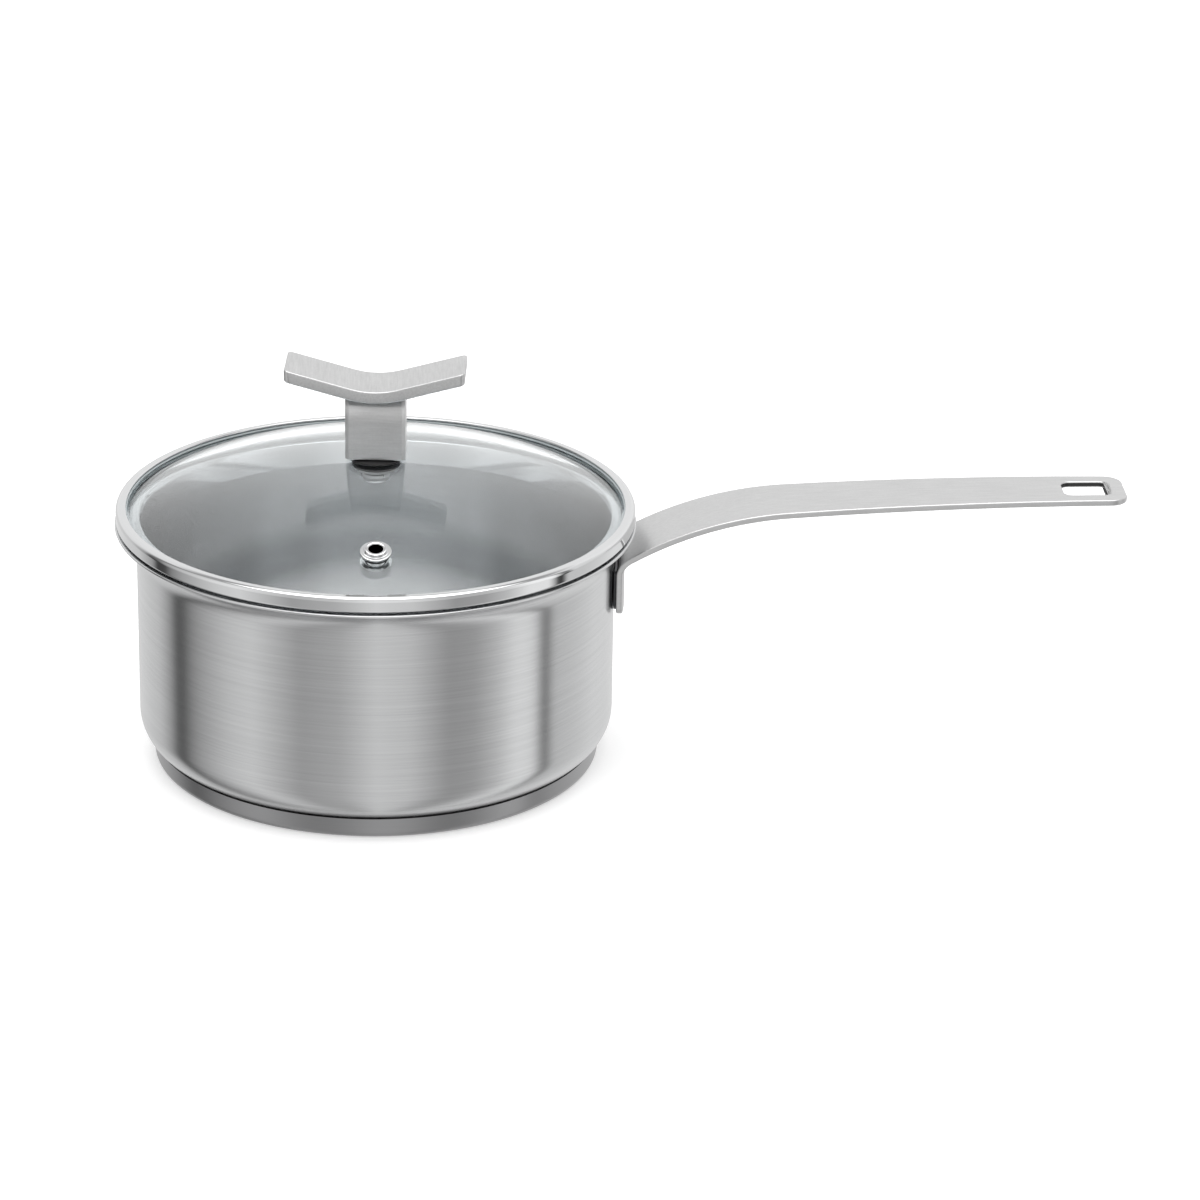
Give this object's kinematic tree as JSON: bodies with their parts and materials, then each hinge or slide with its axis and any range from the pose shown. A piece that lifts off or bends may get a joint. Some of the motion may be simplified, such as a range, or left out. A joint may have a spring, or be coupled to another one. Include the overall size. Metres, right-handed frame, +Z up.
{
  "type": "saucepan with glass lid",
  "caption": "Straight-sided stainless saucepan with a flared rim, bonded base, curved strip handle and a domed, vented glass lid with a V-shaped knob.",
  "frame": {"origin": "centre of the underside of the base, on the pan's axis", "axes": "+X along the handle, towards its tip; +Z up, the way the lid lifts; the lid's vent faces -Y"},
  "size_m": [0.3428, 0.1766, 0.14],
  "materials": {
    "brushed_body": "stainless steel, brushed round the wall",
    "core_aluminium": "raw aluminium plate",
    "base_cup": "stainless steel, satin turned",
    "handle_satin": "stainless steel, fine satin with bright edges",
    "knob_satin": "cast stainless steel, fine satin with bright edges",
    "polished_steel": "stainless steel, mirror polished",
    "plain_steel": "stainless steel, as pressed",
    "black_silicone": "black silicone, matt",
    "pale_silicone": "pale milky silicone",
    "weld_tinted_steel": "stainless steel, dark heat tint from welding",
    "lid_glass": "tempered glass, clear with a slight blue-green tint"
  },
  "bodies": {
    "pan": {"pan_body": "brushed_body", "base_core": "core_aluminium", "base_capsule": "base_cup", "handle_weld_plate": "weld_tinted_steel", "handle": "handle_satin"},
    "lid": {"lid_glass": "lid_glass", "lid_rim": "polished_steel", "lid_rim_seal": "pale_silicone", "vent_eyelet": "polished_steel", "vent_gasket": "black_silicone", "vent_washer": "plain_steel", "knob_grip": "knob_satin", "knob_stem": "knob_satin", "knob_gasket": "black_silicone", "knob_inner_gasket": "black_silicone", "knob_washer": "plain_steel", "knob_lock_washer": "plain_steel", "knob_screw": "plain_steel"}
  },
  "joints": [
    {"name": "lid_lift", "type": "slide", "parent": "pan", "child": "lid", "axis": [0, 0, 1], "range_m": [0, 0.12]}
  ]
}
